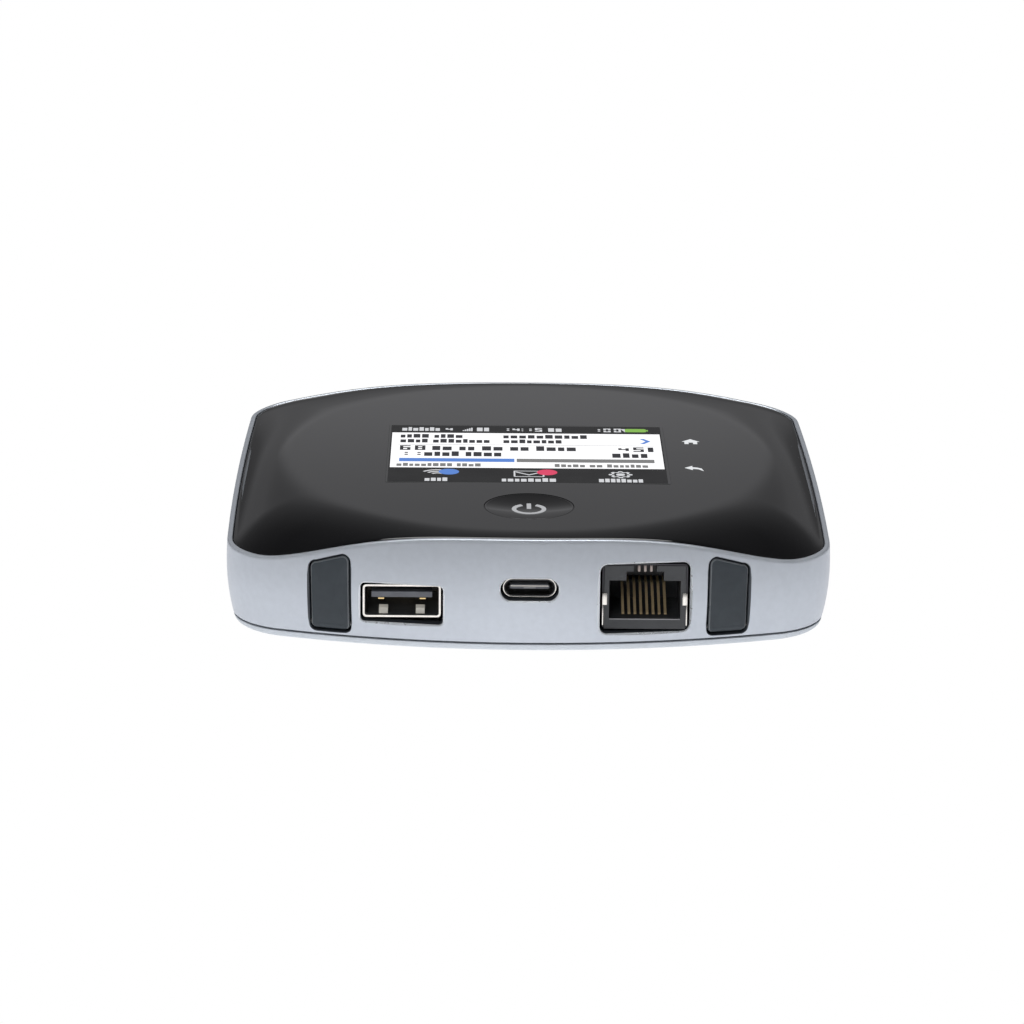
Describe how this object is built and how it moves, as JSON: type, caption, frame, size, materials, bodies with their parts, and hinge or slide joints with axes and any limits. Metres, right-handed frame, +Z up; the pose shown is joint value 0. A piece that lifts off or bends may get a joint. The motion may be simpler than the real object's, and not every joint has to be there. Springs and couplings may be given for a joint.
{
  "type": "mobile hotspot",
  "caption": "Square pocket router with an arched gloss top, touch display, dished power key, wired ports, flaps over antenna sockets and a lift-off battery cover.",
  "frame": {"origin": "middle of the flat underside", "axes": "+X right as seen from the port side, +Y away from the ports, +Z up through the display"},
  "size_m": [0.1044, 0.1054, 0.0203],
  "materials": {
    "silver_paint": "satin silver paint over moulded plastic",
    "gloss_black": "piano gloss",
    "display_glass": "clear, polished",
    "door_grey": "satin moulded",
    "black_plastic": "moulded",
    "grey_plastic": "moulded",
    "clear_plastic": "frosted clear",
    "steel": "stamped",
    "nickel": "nickel plated",
    "gold": "gold plated",
    "circuit_board": "solder mask",
    "graphite_copper": "copper foil over graphite",
    "flex_film": "polyimide",
    "battery_wrap": "printed wrap"
  },
  "bodies": {
    "root": {"mid_frame": "silver_paint", "top_panel": "gloss_black", "display_window": "display_glass", "door_pin_left": "steel", "door_pin_right": "steel", "ts9_connector_left": "gold", "ts9_connector_right": "gold", "tact_switch_body": "steel", "power_led": "clear_plastic", "usb_a_shell": "nickel", "usb_a_tongue": "black_plastic", "usb_a_contact_1": "gold", "usb_a_contact_2": "gold", "usb_a_contact_3": "gold", "usb_a_contact_4": "gold", "usb_c_shell": "nickel", "usb_c_tongue": "black_plastic", "rj45_housing": "black_plastic", "rj45_shield": "steel", "rj45_contact_1": "gold", "rj45_contact_2": "gold", "rj45_contact_3": "gold", "rj45_contact_4": "gold", "rj45_contact_5": "gold", "rj45_contact_6": "gold", "rj45_contact_7": "gold", "rj45_contact_8": "gold", "inner_chassis": "grey_plastic", "case_screw_1": "steel", "case_screw_2": "steel", "case_screw_3": "steel", "case_screw_4": "steel", "main_pcb": "circuit_board", "shield_can_modem": "steel", "shield_can_processor": "steel", "shield_can_wifi": "steel", "lan_transformer": "black_plastic", "heat_spreader": "graphite_copper", "lcd_tray": "steel", "lcd_panel": "black_plastic", "touch_sensor": "display_glass", "lcd_flex": "flex_film", "cellular_antenna_left": "black_plastic", "cellular_antenna_right": "black_plastic", "wifi_antenna_left": "black_plastic", "wifi_antenna_right": "black_plastic", "battery_contact_block": "black_plastic", "sim_socket": "steel", "microsd_socket": "steel"},
    "power_key": {"power_key": "gloss_black", "icon_light_guide": "clear_plastic"},
    "switch_plunger": {"tact_switch_plunger": "black_plastic"},
    "antenna_door_left": {"antenna_door_left": "door_grey"},
    "antenna_door_right": {"antenna_door_right": "door_grey"},
    "battery_cover": {"battery_cover": "silver_paint"},
    "battery": {"battery_pack": "battery_wrap"}
  },
  "joints": [
    {"name": "power_key_press", "type": "slide", "parent": "root", "child": "power_key", "axis": [0, 0, -1], "range_m": [0, 0.0005], "stiffness_N_per_m": 3000},
    {"name": "switch_plunger_press", "type": "slide", "parent": "root", "child": "switch_plunger", "axis": [0, 0, -1], "range_m": [0, 0.0005]},
    {"name": "antenna_door_left_hinge", "type": "hinge", "parent": "root", "child": "antenna_door_left", "pos_m": [-0.03328, -0.04693, 0.00375], "axis": [0.9702, -0.2424, 0], "range_deg": [0, 90]},
    {"name": "antenna_door_right_hinge", "type": "hinge", "parent": "root", "child": "antenna_door_right", "pos_m": [0.03328, -0.04693, 0.00375], "axis": [0.9702, 0.2424, 0], "range_deg": [0, 90]},
    {"name": "battery_cover_lift_off", "type": "slide", "parent": "root", "child": "battery_cover", "axis": [0, 0, -1], "range_m": [0, 0.04]},
    {"name": "battery_lift_out", "type": "slide", "parent": "root", "child": "battery", "axis": [0, 0, -1], "range_m": [0, 0.024]}
  ],
  "couplings": [
    {"joint": "switch_plunger_press", "follows": "power_key_press", "ratio": 1},
    {"joint": "battery_lift_out", "follows": "battery_cover_lift_off", "ratio": 0.6}
  ]
}
